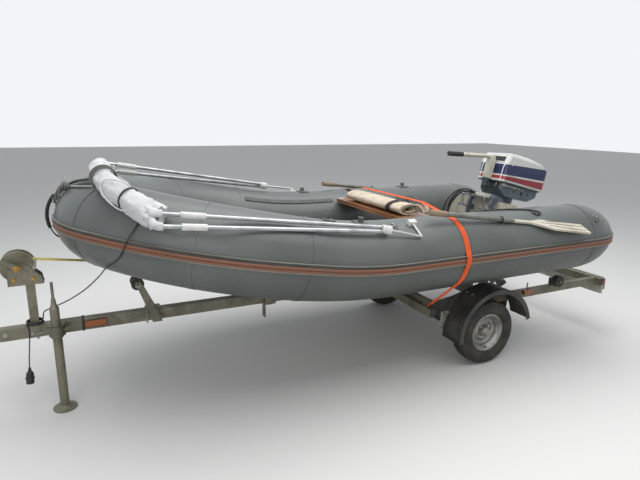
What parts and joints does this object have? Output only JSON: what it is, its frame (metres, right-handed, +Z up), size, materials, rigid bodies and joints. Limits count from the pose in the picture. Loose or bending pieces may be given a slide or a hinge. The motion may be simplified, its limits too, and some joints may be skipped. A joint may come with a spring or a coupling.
{
  "type": "rigid inflatable boat on road trailer",
  "caption": "Grey rigid inflatable boat with a tiller outboard motor, lashed on a galvanised road trailer with prop stand and winch.",
  "frame": {"origin": "on the ground, midway along the length and on the centre line", "axes": "+X aft along the drawbar, +Y to starboard, +Z up"},
  "size_m": [4.862, 1.9646, 1.5464],
  "materials": {
    "tube_fabric": "matte",
    "strake_rubber": "matte",
    "hull_gelcoat": "semi-gloss",
    "sole_plate": "satin",
    "transom_board": "satin",
    "varnished_wood": "satin",
    "roll_canvas": "matte",
    "cover_canvas": "matte",
    "alloy_tube": "satin",
    "white_fittings": "matte",
    "black_rubber": "matte",
    "grey_blocks": "matte",
    "bright_steel": "polished",
    "black_webbing": "matte",
    "orange_webbing": "matte",
    "yellow_webbing": "matte",
    "oar_alloy": "satin",
    "beige_plastic": "satin",
    "motor_paint": "satin",
    "cowl_white": "gloss",
    "pan_blue": "satin",
    "engine_casting": "matte",
    "tiller_beige": "satin",
    "prop_alloy": "satin",
    "galvanised": "dull",
    "black_steel": "matte",
    "black_plastic": "matte",
    "tyre": "matte",
    "rim_silver": "satin",
    "amber_lens": "gloss",
    "red_lens": "gloss",
    "board_grey": "matte"
  },
  "bodies": {
    "boat_on_trailer": {"port_tube": "tube_fabric", "starboard_tube": "tube_fabric", "bow_tube": "tube_fabric", "rubbing_strake": "strake_rubber", "hull": "hull_gelcoat", "cockpit_sole": "sole_plate", "transom": "transom_board", "thwart": "varnished_wood", "canvas_roll": "roll_canvas", "canopy_cover": "cover_canvas", "canopy_poles": "alloy_tube", "canopy_fittings": "white_fittings", "seat_tracks": "black_rubber", "rowlock_blocks": "grey_blocks", "bow_eye": "bright_steel", "bow_handle": "black_webbing", "lashing_strap": "orange_webbing", "winch_strap": "yellow_webbing", "oar_shafts": "oar_alloy", "oar_grips": "beige_plastic", "oar_blades": "beige_plastic", "motor_clamp": "motor_paint", "drawbar": "galvanised", "cross_members": "galvanised", "side_rails": "galvanised", "winch_post": "galvanised", "jack_clamp": "galvanised", "roller_brackets": "galvanised", "bilge_posts": "galvanised", "marker_posts": "black_steel", "roller_pins": "galvanised", "axle": "galvanised", "coupling": "bright_steel", "springs": "black_steel", "winch_drum": "galvanised", "keel_rollers": "black_rubber", "stern_rollers": "black_rubber", "hull_rests": "black_rubber", "mudguards": "black_plastic", "amber_lamps": "amber_lens", "tail_lamps": "red_lens", "light_board": "board_grey", "lighting_lead": "black_rubber", "lead_loops": "black_rubber", "lead_plug": "black_plastic"},
    "port_wheel": {"port_rim": "rim_silver", "port_tyre": "tyre"},
    "starboard_wheel": {"starboard_rim": "rim_silver", "starboard_tyre": "tyre"},
    "prop_stand": {"jack_leg": "galvanised"},
    "motor_swivel": {"swivel_bracket": "motor_paint"},
    "outboard": {"motor_leg": "motor_paint", "gearcase": "motor_paint", "motor_cowl": "cowl_white", "motor_pan": "pan_blue", "engine_block": "engine_casting", "tiller_arm": "tiller_beige", "tiller_grip": "black_rubber"},
    "propeller": {"propeller": "prop_alloy"}
  },
  "joints": [
    {"name": "port_wheel_spin", "type": "hinge", "parent": "boat_on_trailer", "child": "port_wheel", "pos_m": [0.981, -0.664, 0.243], "axis": [0, 1, 0], "continuous": true},
    {"name": "starboard_wheel_spin", "type": "hinge", "parent": "boat_on_trailer", "child": "starboard_wheel", "pos_m": [0.981, 0.664, 0.243], "axis": [0, 1, 0], "continuous": true},
    {"name": "prop_stand_slide", "type": "slide", "parent": "boat_on_trailer", "child": "prop_stand", "axis": [0, 0, 1], "range_m": [0, 0.25]},
    {"name": "motor_tilt", "type": "hinge", "parent": "boat_on_trailer", "child": "motor_swivel", "pos_m": [1.499, 0, 1.13], "axis": [0, -1, 0], "range_deg": [0, 65]},
    {"name": "motor_steer", "type": "hinge", "parent": "motor_swivel", "child": "outboard", "pos_m": [1.6446, 0, 1.0937], "axis": [0.2419, 0, 0.9703], "range_deg": [-35, 35]},
    {"name": "propeller_spin", "type": "hinge", "parent": "outboard", "child": "propeller", "pos_m": [1.7178, 0, 0.3746], "axis": [0.9703, 0, -0.2419], "continuous": true}
  ]
}
